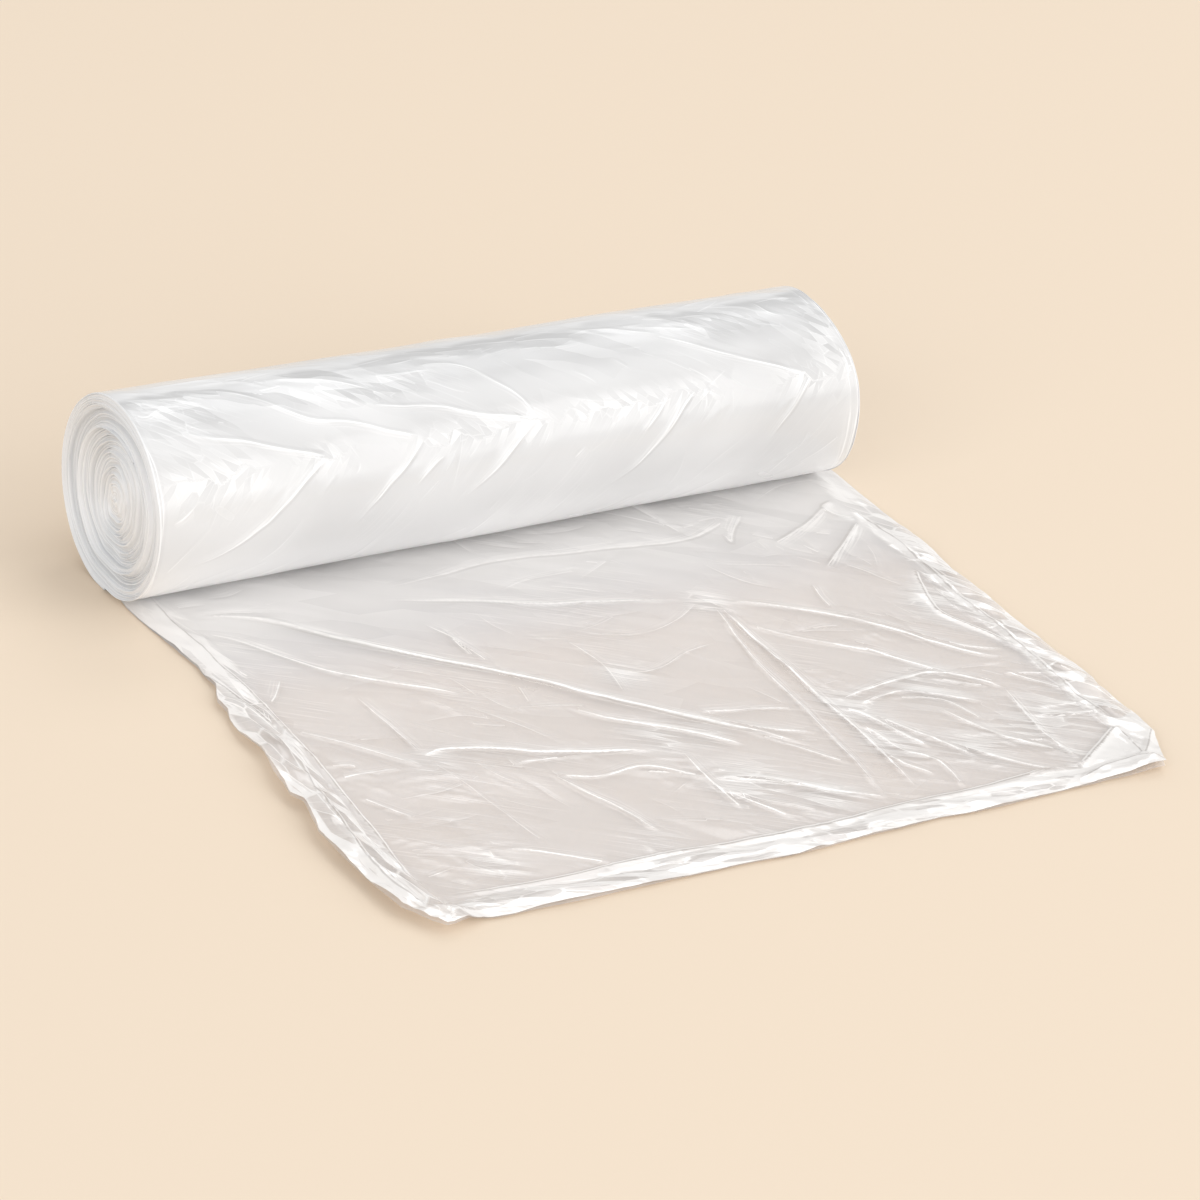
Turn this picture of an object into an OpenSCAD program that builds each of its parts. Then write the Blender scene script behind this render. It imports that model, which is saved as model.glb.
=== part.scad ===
// Roll of thin white bin bags with its last bag unrolled flat in front of it.
// The film is one continuous web: it leaves the roll underneath and lies on the surface as the loose bag.
// The roll is wound without a core. X runs along the roll, Z is up, and the loose bag reaches towards -Y.

/* [Roll] */
// Width of the film as it is wound, which is the roll's length
roll_l = 300; // [200:5:450]
// Diameter over the outermost turn
roll_d = 74; // [50:1:110]
// Width of the eye at the centre of the roll
eye_d = 5; // [3:0.5:12]
// Thickness of one wound band of film
band_t = 1.3; // [1:0.1:2]
// Gap between one band and the next, seen at the ends
band_gap = 0.75; // [0.5:0.05:1.2]
// Depth of the gaps between the bands at each end
end_depth = 5; // [3:0.5:10]
// How far each inner group of turns stands back from the group around it
end_step = 0.9; // [0.3:0.1:1.4]
// How far the roll's weight flattens it on the surface that it lies on
flat_drop = 0.8; // [0.3:0.1:2]
// How far the innermost turns hang below the roll's axis
sag = 1.5; // [0:0.1:3]

/* [Loose bag] */
// Width between the outermost points of the loose bag's two side edges
bag_w = 323; // [220:1:480]
// Distance from the roll's axis to the loose bag's near edge
bag_l = 242; // [140:1:500]
// How far the loose bag lies to the right of the roll's middle
bag_shift = 3.5; // [0:0.5:8]
// Thickness of the two layers of film that lie flat
bag_t = 0.8; // [0.6:0.1:1.6]

/* [Creases] */
// Height of the longest crease
crease_h = 2.8; // [1:0.1:6]
// Width of a crease at its foot
crease_w = 11; // [8:0.5:20]
// Height of the crumpled folds along the two side edges
side_h = 2.2; // [0.5:0.1:5]
// Width of the crumpled folds along the two side edges
side_w = 17; // [8:1:40]
// Height of the gathered film along the near edge
hem_h = 1.4; // [0.5:0.1:4]
// Width of the gathered film along the near edge
hem_w = 12; // [6:1:30]
// Height of the slow waves across the whole bag
wave_h = 0.5; // [0:0.1:1.5]

/* [Hidden] */

film_white = [0.93, 0.93, 0.92];

// Straight sides in one turn of the wound film, a multiple of four so that the roll's back is a corner
turn_sides = 24;
turn_step = 360 / turn_sides;
pitch = band_t + band_gap;
first_r = roll_d / 2 + pitch / 2;
axis_z = first_r - flat_drop;
turns = floor((first_r - eye_d / 2) / pitch);
// Where the wound film steps back at the ends, as shares of its way from the outside to the eye
group_shares = [0, 0.2, 0.46, 0.72, 1];
group_ends = [for (share = group_shares) round(share * turns * turn_sides)];
// The wound film's flat tongue reaches this far in front of the axis, and the loose bag starts inside it
tongue_l = 14;
tongue_lap = 4;
tongue_wall = 0.25;
// Past the tongue's end the loose bag takes this much of its length to reach its full width
widen_l = 7;
// Width by which the loose bag's root is narrower than the tongue at each end
root_in = 1.5;
// Grid of the loose bag's upper face
cols = 58;
rows = 43;

// Size of bag on which the outline and the creases below are drawn, and with which they stretch
drawn_w = 323;
drawn_l = 242;
sx = bag_w / drawn_w;
sy = bag_l / drawn_l;

// How far the side and near edges draw in from the bag's full size, at distances along each edge
left_in = [[14, 10], [71, 12], [86, 7], [119, 6], [133, 3], [148, 1], [153, 3], [171, 0], [189, 0],
           [219, 2], [229, 8], [234, 13]];
right_in = [[14, 0], [44, 1], [89, 4], [131, 7], [149, 6], [182, 7], [211, 9], [221, 10], [242, 22]];
near_in = [[-145, 8], [-113, 9], [-83, 7], [-53, 6], [-14, 4], [39, 4], [73, 2], [103, 2], [143, 0]];

// Creases, each a share of the longest one's height and the points that it runs through:
// distance right of the roll's middle, and distance from the roll's axis towards the near edge
creases = [
    [1.00, [[-129, 25], [-94, 56], [-53, 97], [-14, 137], [17, 163], [36, 186]]],
    [0.60, [[-38, 135], [-4, 162], [29, 213]]],
    [0.70, [[-104, 142], [-65, 155], [-39, 163], [-12, 170]]],
    [0.45, [[-61, 43], [-30, 55], [24, 73]]],
    [0.30, [[-102, 113], [-102, 139]]],
    [0.40, [[-105, 201], [-88, 222]]],
    [0.45, [[-61, 180], [-56, 204], [-47, 225]]],
    [0.60, [[-139, 20], [-139, 77], [-140, 133], [-144, 196], [-146, 221]]],
    [0.60, [[150, 94], [148, 134], [146, 185], [145, 212]]],
    [0.70, [[150, 87], [135, 109], [134, 124], [147, 156]]],
    [0.45, [[50, 90], [46, 123], [43, 167], [34, 227]]],
    [0.45, [[56, 90], [54, 163], [48, 217]]],
    [0.60, [[55, 88], [86, 104], [122, 138], [146, 157]]],
    [0.45, [[123, 176], [115, 203], [113, 226]]],
    [0.70, [[148, 35], [124, 49], [103, 56]]],
    [0.60, [[144, 55], [114, 78], [99, 87]]],
    [0.80, [[115, 228], [145, 212]]],
    [0.50, [[-140, 222], [-76, 223], [37, 227], [115, 228]]]
];

// The roll: one band of film wound from the surface up the back, over the top and down the front

// Point of the wound film at an angle counted from underneath, a depth below its outer face
function wound(a, depth) =
    let (r = first_r - pitch * a / 360 - depth, hang = sag * (1 - r / first_r))
    [r * sin(a), max(axis_z - hang - r * cos(a), first_r - r)];

module wound_band(from, to, length, front = []) {
    sides = [for (k = [from:to]) k * turn_step];
    outer = [for (a = sides) wound(a, 0)];
    inner = [for (a = sides) wound(a, band_t)];
    back_way = [for (k = [len(inner) - 1:-1:0]) inner[k]];
    along_x(length) polygon(concat(outer, back_way, front));
}

module along_x(length) {
    rotate([90, 0, 90]) linear_extrude(height = length, center = true) children();
}

module wound_roll() {
    tongue = [[-tongue_l, band_t], [-tongue_l, 0]];
    for (g = [0:len(group_ends) - 2])
        wound_band(group_ends[g], group_ends[g + 1], roll_l - 2 * g * end_step, g == 0 ? tongue : []);
    // The closed middle, which ends inside the outermost turn's wall
    middle = [for (k = [0:turn_sides]) wound((k + 0.5) * turn_step, band_t / 2)];
    along_x(roll_l - 2 * end_depth) polygon(middle);
}

// The loose bag: one closed sheet with its creases standing up from a flat underside

root_y = tongue_l - tongue_lap;
first_y = tongue_l + tongue_wall;
full_y = tongue_l + widen_l;
root_x = roll_l / 2 - root_in;

function left_x(y) = -bag_w / 2 + bag_shift + lookup(y / sy, left_in) * sx;
function right_x(y) = bag_w / 2 + bag_shift - lookup(y / sy, right_in) * sx;
function near_y(x) = bag_l - lookup(x / sx, near_in) * sy;

// Place of a grid point: rows 0 and 1 are the root in the tongue, and the others spread to the near edge
function across(i, y) = left_x(y) + (right_x(y) - left_x(y)) * i / cols;
function spot(i, j) =
    j < 2 ? [-root_x + 2 * root_x * i / cols, j == 0 ? root_y : first_y]
    : let (v = (j - 2) / (rows - 2), x0 = across(i, full_y + v * (bag_l - full_y)),
           y = full_y + v * (near_y(x0) - full_y))
      [across(i, y), y];

// Distance from a point to a stretch of a crease, and to the whole crease
function to_stretch(p, a, b) =
    let (d = b - a, t = max(0, min(1, (p - a) * d / (d * d)))) norm(p - a - t * d);
function to_crease(p, route) = min([for (k = [0:len(route) - 2]) to_stretch(p, route[k], route[k + 1])]);
function ridge(d, w) = max(0, 1 - d / w);

function crease_top(p) =
    max([for (c = creases) c[0] * crease_h * ridge(to_crease(p, c[1]), crease_w / 2)]);
// Short pleats that run in from an edge, each a few millimetres from the next
function pleats(along, into) =
    0.5 + 0.3 * sin(29 * along + 90 * sin(7 * into)) + 0.2 * sin(61 * along - 11 * into);
function side_top(p, from_edge) =
    from_edge > side_w ? 0
    : side_h * pleats(p.y, from_edge) * min(1, (side_w - from_edge) / 4) * (0.3 + 0.7 * min(1, from_edge / 5));
function hem_top(p, from_edge) =
    from_edge > hem_w ? 0
    : hem_h * pleats(p.x, from_edge) * min(1, (hem_w - from_edge) / 3) * (0.3 + 0.7 * min(1, from_edge / 4));
function waves(p) =
    wave_h * (0.5 + 0.25 * sin(3.1 * p.x + 2.3 * p.y) + 0.25 * sin(2.2 * p.x - 4.7 * p.y + 70));
function film_top(i, j) =
    j < 2 ? band_t - tongue_wall
    : let (p = spot(i, j), drawn = [p.x / sx, p.y / sy],
           side = min(p.x - left_x(p.y), right_x(p.y) - p.x), near = near_y(p.x) - p.y)
      bag_t + waves(p) + max(crease_top(drawn), side_top(p, side), hem_top(p, near));

module loose_bag() {
    wide = cols + 1;
    top = [for (j = [0:rows], i = [0:cols]) let (p = spot(i, j)) [p.x, -p.y, film_top(i, j)]];
    rim = concat([for (i = [0:cols - 1]) i], [for (j = [0:rows - 1]) j * wide + cols],
                 [for (i = [cols:-1:1]) rows * wide + i], [for (j = [rows:-1:1]) j * wide]);
    count = len(rim);
    under = [for (k = rim) [top[k].x, top[k].y, floor(k / wide) < 2 ? tongue_wall : 0]];
    foot = len(top);
    middle = [[bag_shift, -bag_l / 2, 0]];
    skin = [for (j = [0:rows - 1], i = [0:cols - 1])
        let (a = j * wide + i, b = a + 1, c = b + wide, d = a + wide)
        each abs(top[a].z - top[c].z) < abs(top[b].z - top[d].z) ? [[a, b, c], [a, c, d]]
                                                                 : [[a, b, d], [b, c, d]]];
    walls = [for (k = [0:count - 1])
        let (n = (k + 1) % count)
        each [[rim[n], rim[k], foot + k], [rim[n], foot + k, foot + n]]];
    base = [for (k = [0:count - 1]) [foot + count, foot + (k + 1) % count, foot + k]];
    polyhedron(concat(top, under, middle), concat(skin, walls, base));
}

module bag_roll() {
    back_y = wound(90, 0).x;
    color(film_white) translate([-bag_shift, (bag_l - back_y) / 2, 0]) {
        wound_roll();
        loose_bag();
    }
}

bag_roll();
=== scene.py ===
"""Looks of a coreless roll of thin white bin bags whose last bag lies unrolled in front of it.

The film is one web. It is wound into the roll and leaves it underneath, towards the camera. Sizes are
millimetres from the roll's middle: x along the roll to its right end, front from the axis towards the loose
bag's near edge, and z up. to_row() turns them into the frame's metres.
"""
import math
from functools import reduce

import bpy
import numpy as np
from mathutils import Matrix, Vector


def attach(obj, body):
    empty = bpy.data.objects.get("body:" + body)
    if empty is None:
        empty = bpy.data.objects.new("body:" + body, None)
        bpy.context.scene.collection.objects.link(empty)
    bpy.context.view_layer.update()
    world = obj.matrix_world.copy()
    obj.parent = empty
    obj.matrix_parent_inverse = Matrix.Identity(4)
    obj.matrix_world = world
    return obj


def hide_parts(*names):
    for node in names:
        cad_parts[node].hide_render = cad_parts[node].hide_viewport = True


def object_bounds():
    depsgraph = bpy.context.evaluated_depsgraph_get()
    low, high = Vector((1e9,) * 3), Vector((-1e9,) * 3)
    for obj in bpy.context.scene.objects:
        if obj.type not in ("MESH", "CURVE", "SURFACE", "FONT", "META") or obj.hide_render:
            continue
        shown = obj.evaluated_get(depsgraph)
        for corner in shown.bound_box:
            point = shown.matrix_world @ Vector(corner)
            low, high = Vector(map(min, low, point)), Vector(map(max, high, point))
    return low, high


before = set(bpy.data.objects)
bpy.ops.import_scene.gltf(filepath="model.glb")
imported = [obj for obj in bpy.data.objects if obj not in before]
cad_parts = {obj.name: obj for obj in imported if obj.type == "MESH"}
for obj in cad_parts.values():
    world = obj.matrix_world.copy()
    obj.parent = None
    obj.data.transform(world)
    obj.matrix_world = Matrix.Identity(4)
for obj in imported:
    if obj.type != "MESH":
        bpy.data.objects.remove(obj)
cad_low, cad_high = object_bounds()

# Driving sizes
MM = 0.001
ROLL_L = 300.0
ROLL_R = 37.0
BAG_L = 242.0
BAG_SHIFT = 3.5
FLAT_DROP = 0.8
# Radius where the outermost turn starts, and how much nearer to the axis each turn lies
OUTER_R = 37.9
FILM_PITCH = 1.6
AXIS_Z = 38.0 - FLAT_DROP
AXIS_Y = cad_low.y / MM + BAG_L
BAG_LEFT = cad_low.x / MM + BAG_SHIFT
BAG_RIGHT = cad_high.x / MM + BAG_SHIFT
# Length round the roll of one degree
ARC = math.pi * ROLL_R / 180.0

NODE = "bag_roll"


def to_row(x, front, z):
    """Places in the frame's metres from millimetres measured from the roll's middle."""
    return np.stack([(x - BAG_SHIFT) * MM, (AXIS_Y - front) * MM, z * MM], -1)


# Noise and small curves

# Noise and facets repeat after this many units
REPEAT = 64


def noise(x, y, seed):
    """Smooth noise from -1 to 1 with one hump for each unit of x and y."""
    nodes = np.random.default_rng(seed).uniform(-1, 1, (REPEAT, REPEAT))
    xi, yi = np.floor(x).astype(int), np.floor(y).astype(int)
    fx, fy = x - xi, y - yi
    ux, uy = fx**3 * (fx * (fx * 6 - 15) + 10), fy**3 * (fy * (fy * 6 - 15) + 10)
    a, b = nodes[xi % REPEAT, yi % REPEAT], nodes[(xi + 1) % REPEAT, yi % REPEAT]
    c, d = nodes[xi % REPEAT, (yi + 1) % REPEAT], nodes[(xi + 1) % REPEAT, (yi + 1) % REPEAT]
    return (a * (1 - ux) + b * ux) * (1 - uy) + (c * (1 - ux) + d * ux) * uy


def facets(x, y, angle, long, wide, seed):
    """Heights from -1 to 1 over flat facets that meet in sharp creases, as in crumpled film.

    The facets are long by wide millimetres and lie at an angle in degrees.
    """
    a = math.radians(angle)
    s, t = (x * math.cos(a) + y * math.sin(a)) / long, (y * math.cos(a) - x * math.sin(a)) / wide
    u = s + 0.4 * noise(s / 2.1, t / 2.1, seed + 1)
    v = t + 0.4 * noise(s / 2.1, t / 2.1, seed + 2)
    rng = np.random.default_rng(seed)
    nodes, flips = rng.uniform(-1, 1, (REPEAT, REPEAT)), rng.random((REPEAT, REPEAT)) < 0.5
    i, j = np.floor(u).astype(int), np.floor(v).astype(int)
    fu, fv = u - i, v - j
    flip = flips[i % REPEAT, j % REPEAT]
    fu = np.where(flip, 1 - fu, fu)
    low, high = i + flip, i + 1 - flip
    a, b = nodes[low % REPEAT, j % REPEAT], nodes[high % REPEAT, j % REPEAT]
    c, d = nodes[low % REPEAT, (j + 1) % REPEAT], nodes[high % REPEAT, (j + 1) % REPEAT]
    return np.where(fu + fv < 1, a + fu * (b - a) + fv * (c - a), d + (1 - fu) * (c - d) + (1 - fv) * (b - d))


def ramp(v, low, high):
    """0 below low and 1 above high, with a smooth rise between."""
    t = np.clip((v - low) / (high - low), 0, 1)
    return t * t * (3 - 2 * t)


# Steps from one given point of a route to the next
ROUTE_STEPS = 5


def through(points):
    """Smooth route through given points."""
    p = np.array(points, float)
    if len(p) == 2:
        t = np.linspace(0, 1, ROUTE_STEPS + 1)[:, None]
        return p[0] + (p[1] - p[0]) * t
    q = np.vstack([2 * p[0] - p[1], p, 2 * p[-1] - p[-2]])
    t = np.linspace(0, 1, ROUTE_STEPS, endpoint=False)[:, None]
    spans = [
        0.5 * (2 * b + (c - a) * t + (2 * a - 5 * b + 4 * c - d) * t**2 + (3 * b - a - 3 * c + d) * t**3)
        for a, b, c, d in zip(q, q[1:], q[2:], q[3:])
    ]
    return np.vstack(spans + [p[-1:]])


# Creases further away than this leave no drawn lines and no painted light or shade
LINE_REACH = 9.0
# Two creases' runs start this far apart, and their flags this much, so that the material can tell them apart
RUN_APART = 61
FLAG_APART = 0.618
# How round the top of a crease is
CREASE_TIP = 0.3


class Relief:
    """Height of a film over a grid of known places, built up from creases, and where its crease lines run."""

    def __init__(self, x, y):
        self.x, self.y = x, y
        self.h = np.zeros_like(x)
        self.reach = (x.min(0), x.max(0), y.min(1), y.max(1))
        # Signed distance to the crease that shows most nearby, the way along it, and how marked it is
        self.gap, self.run, self.mark = np.full(x.shape, 50.0), np.zeros(x.shape), np.zeros(x.shape)
        # Which crease shows most, a flag for each crease, and the light and shade painted beside the creases
        self.score, self.flag, self.shade = (np.zeros(x.shape) for _ in range(3))
        self.count = 0

    @classmethod
    def wavering(cls, x, y, seed, by, long, short):
        """A relief whose creases waver by this much over a long distance, and a little over a short one."""
        def push(v, first):
            return v + by * noise(x / long, y / long, first) + 0.25 * noise(x / short, y / short, first + 1)
        return cls(push(x, seed), push(y, seed + 2))

    def window(self, route, margin):
        (x0, y0), (x1, y1) = route.min(0) - margin, route.max(0) + margin
        col_low, col_high, row_low, row_high = self.reach
        cols = np.flatnonzero((col_high >= x0) & (col_low <= x1))
        rows = np.flatnonzero((row_high >= y0) & (row_low <= y1))
        if not len(cols) or not len(rows):
            return None
        return slice(rows[0], rows[-1] + 1), slice(cols[0], cols[-1] + 1)

    def crease(self, points, height, left, right, ends, line, power=1.7):
        """Raises a crease along a route, with widths to the left and right.

        ends are the shares of its length over which it rises and falls. line is the strength of the painted
        highlight line that the material draws along it: 0 draws none, below 0 a fold's painted shadow line.
        """
        route = through(points)
        win = self.window(route, max(left, right, LINE_REACH if line else 0))
        if win is None:
            return
        best, side, at, whole = self.nearest(route, win)
        u = (np.sqrt(best**2 + CREASE_TIP**2) - CREASE_TIP) / np.where(side > 0, right, left)
        along = at / whole
        taper = ramp(along, 0, ends[0]) * ramp(1 - along, 0, ends[1])
        self.h[win] += height * taper * np.clip(1 - u, 0, 1) ** power
        if line:
            fade = ramp(along, 0, 1.7 * ends[0]) * ramp(1 - along, 0, 1.7 * ends[1])
            self.draw(win, np.where(side > 0, best, -best), at, line * fade)
            # Painted light on one side of the crease and painted shade on the other, fading out within
            # LINE_REACH
            lit_or_dark = line * fade * np.where(side > 0, -0.5, 1)
            self.shade[win] += lit_or_dark * np.clip(1 - best / LINE_REACH, 0, 1) ** 1.6

    def nearest(self, route, win):
        """How far the route is from each place, which side of it that is, how far along, and its length."""
        x, y = self.x[win], self.y[win]
        step = np.hypot(*np.diff(route, axis=0).T)
        run = np.concatenate([[0], np.cumsum(step)])
        best = np.full(x.shape, 1e9)
        side, at = np.zeros(x.shape), np.zeros(x.shape)
        for a, b, long, start in zip(route, route[1:], step, run):
            d = (b - a) / max(long, 1e-9)
            px, py = x - a[0], y - a[1]
            t = np.clip(px * d[0] + py * d[1], 0, long)
            away = np.hypot(px - t * d[0], py - t * d[1])
            near = away < best
            best = np.where(near, away, best)
            side = np.where(near, px * d[1] - py * d[0], side)
            at = np.where(near, start + t, at)
        return best, side, at, run[-1]

    def draw(self, win, gap, at, mark):
        """Keeps the crease that shows most at each place."""
        self.count += 1
        score = np.abs(mark) * np.clip(1 - np.abs(gap) / LINE_REACH, 0, 1)
        better = score > self.score[win]
        run, flag = at + RUN_APART * self.count, FLAG_APART * self.count % 1
        kept = (self.gap, self.run, self.mark, self.score, self.flag)
        for old, new in zip(kept, (gap, run, mark, score, flag)):
            old[win] = np.where(better, new, old[win])

    def lines(self):
        """The drawn lines for the material, and the light and shade painted beside the creases.

        The squares show where two creases' regions meet, because there they aren't the square of the value.
        """
        return {
            "gap": self.gap, "gap_squared": np.minimum(self.gap**2, 100), "run": self.run, "mark": self.mark,
            "flag": self.flag, "flag_squared": self.flag**2, "shade": np.clip(self.shade, -1, 1),
        }


def film_grid(name, places, attributes, material):
    """One smooth sheet of quads through a grid of places in the frame's metres."""
    rows, cols = places.shape[:2]
    index = np.arange(rows * cols).reshape(rows, cols)
    quads = np.stack([index[:-1, :-1], index[1:, :-1], index[1:, 1:], index[:-1, 1:]], -1).reshape(-1, 4)
    return film_mesh(name, places.reshape(-1, 3), quads, attributes, material)


def film_mesh(name, points, quads, attributes, material):
    mesh = bpy.data.meshes.new(name)
    mesh.vertices.add(len(points))
    mesh.vertices.foreach_set("co", np.ascontiguousarray(points, np.float32).ravel())
    mesh.loops.add(quads.size)
    mesh.loops.foreach_set("vertex_index", quads.ravel().astype(np.int32))
    mesh.polygons.add(len(quads))
    mesh.polygons.foreach_set("loop_start", np.arange(0, quads.size, 4, dtype=np.int32))
    mesh.update(calc_edges=True)
    mesh.polygons.foreach_set("use_smooth", np.ones(len(quads), bool))
    for key, values in attributes.items():
        layer = mesh.attributes.new(key, "FLOAT", "POINT")
        layer.data.foreach_set("value", np.ascontiguousarray(values, np.float32).ravel())
    mesh.validate()
    piece = bpy.data.objects.new(name, mesh)
    bpy.context.collection.objects.link(piece)
    mesh.materials.append(material)
    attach(piece, "root")
    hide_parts(NODE)
    return piece


# Materials


def new_material(name):
    mat = bpy.data.materials.new(name)
    mat.use_nodes = True
    tree = mat.node_tree
    return mat, tree, tree.nodes["Principled BSDF"]


def fill(tree, node, inputs):
    """Sets a node's inputs to values, or links them to other nodes' outputs. Colours have three values."""
    for key, value in inputs.items():
        socket = node.inputs[key]
        if isinstance(value, bpy.types.NodeSocket):
            tree.links.new(value, socket)
        else:
            socket.default_value = (*value, 1) if socket.type == "RGBA" else value
    return node


def add(tree, kind, **inputs):
    return fill(tree, tree.nodes.new(kind), inputs)


def remap(tree, value, low, high, to_low=0.0, to_high=1.0):
    inputs = {"Value": value, "From Min": low, "From Max": high, "To Min": to_low, "To Max": to_high}
    return add(tree, "ShaderNodeMapRange", **inputs).outputs["Result"]


def attribute(tree, name):
    node = tree.nodes.new("ShaderNodeAttribute")
    node.attribute_name = name
    return node.outputs["Fac"]


def mix_colors(tree, factor, a, b):
    node = tree.nodes.new("ShaderNodeMix")
    node.data_type = "RGBA"
    return fill(tree, node, {"Factor": factor, "A": a, "B": b}).outputs["Result"]


def math_node(tree, kind, *values):
    node = tree.nodes.new("ShaderNodeMath")
    node.operation = kind
    return fill(tree, node, dict(enumerate(values))).outputs[0]


def total(tree, *values):
    return reduce(lambda a, b: math_node(tree, "ADD", a, b), values)


def times(tree, *values):
    return reduce(lambda a, b: math_node(tree, "MULTIPLY", a, b), values)


def along_film(tree, x, y):
    """Position on the film in millimetres, from two attributes."""
    return add(tree, "ShaderNodeCombineXYZ", X=attribute(tree, x), Y=attribute(tree, y)).outputs["Vector"]


def turned(tree, place, angle, long, wide, shift=0.0):
    """The place in units of long by wide millimetres, which lie at an angle in degrees."""
    node = tree.nodes.new("ShaderNodeMapping")
    node.vector_type = "TEXTURE"
    spin = (0, 0, math.radians(angle))
    inputs = {"Vector": place, "Location": (shift, shift, 0), "Rotation": spin, "Scale": (long, wide, 1)}
    return fill(tree, node, inputs).outputs["Vector"]


def bent(tree, place, size, by):
    """The place pushed about by noise with humps of this size."""
    tex = add(tree, "ShaderNodeTexNoise", Vector=place, Scale=1 / size, Detail=1.0)
    move = tree.nodes.new("ShaderNodeVectorMath")
    move.operation = "MULTIPLY_ADD"
    return fill(tree, move, {0: tex.outputs["Color"], 1: (by, by, 0), 2: place}).outputs["Vector"]


def stretched_noise(tree, place, angle, long, wide, shift=0.0):
    """Noise whose humps are long by wide millimetres, and lie at an angle in degrees."""
    place = turned(tree, place, angle, long, wide, shift)
    tex = add(tree, "ShaderNodeTexNoise", Vector=place, Scale=1.0, Detail=1.0, Distortion=0.15)
    return tex.outputs["Fac"]


def streaks(tree, place, angle, long, wide, shift=0.0):
    """Fine broken streaks, which the materials paint as highlights on crinkled film."""
    return remap(tree, stretched_noise(tree, place, angle, long, wide, shift), 0.54, 0.70)


def crease_lines(tree, hair_side=-1, hair_reach=5.0):
    """Creases drawn as painted light and shade: crisp lines, hairs fading out on one side, folds, thin shade.

    A fold line is a painted shadow line with a painted highlight line beside it.
    """
    gap = attribute(tree, "gap")
    here = remap(tree, attribute(tree, "gap_squared"), 2.0, 6.0, 1.0, 0.0)
    grain = stretched_noise(tree, along_film(tree, "run", "gap"), 3, 20, 0.75)
    out = times(tree, gap, hair_side)
    fade = times(tree, remap(tree, out, 0.2, hair_reach, 1.0, 0.0), remap(tree, out, -0.9, -0.1))
    signed = attribute(tree, "mark")
    mark = math_node(tree, "MAXIMUM", signed, 0.0)
    fold = math_node(tree, "MAXIMUM", times(tree, signed, -1.0), 0.0)
    # The more marked a crease is, the wider its line
    scaled = math_node(tree, "DIVIDE", gap, remap(tree, mark, 0.0, 1.5, 0.55, 1.5))
    broken = remap(tree, grain, 0.30, 0.55, 0.35, 1.0)
    line = times(tree, thin_line(tree, scaled, 0.0, 0.08, 0.45), here, broken)
    beside = times(tree, thin_line(tree, gap, 0.9, 0.1, 0.6), here, fold)
    crisp = total(tree, times(tree, line, mark), times(tree, beside, 0.8))
    flag = attribute(tree, "flag")
    mixed = math_node(tree, "SUBTRACT", attribute(tree, "flag_squared"), times(tree, flag, flag))
    one_crease = remap(tree, mixed, 0.0005, 0.004, 1.0, 0.0)
    hair = times(tree, fade, remap(tree, grain, 0.42, 0.64), mark, one_crease)
    shade = times(tree, thin_line(tree, out, -1.1, 0.2, 0.8), here, mark)
    return crisp, hair, times(tree, thin_line(tree, gap, 0.0, 0.1, 0.5), here, fold), shade


def thin_line(tree, gap, at, core, edge):
    """1 within core of a signed distance, falling to 0 at edge."""
    away = math_node(tree, "ABSOLUTE", math_node(tree, "SUBTRACT", gap, at))
    return remap(tree, away, core, edge, 1.0, 0.0)


def shards(tree, place):
    """Angular facets of crumpled film, one for each unit of the place: a value for each, and the rims."""
    rims = add(tree, "ShaderNodeTexVoronoi", Vector=place, Scale=1.0)
    rims.feature, rims.voronoi_dimensions = "DISTANCE_TO_EDGE", "2D"
    return cells(tree, place), remap(tree, rims.outputs["Distance"], 0.0, 0.07, 1.0, 0.0)


def cells(tree, place):
    """A random value for each angular patch of film, one patch for each unit of the place."""
    tex = add(tree, "ShaderNodeTexVoronoi", Vector=place, Scale=1.0)
    tex.voronoi_dimensions = "2D"
    return add(tree, "ShaderNodeSeparateColor", Color=tex.outputs["Color"]).outputs["Red"]


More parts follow.
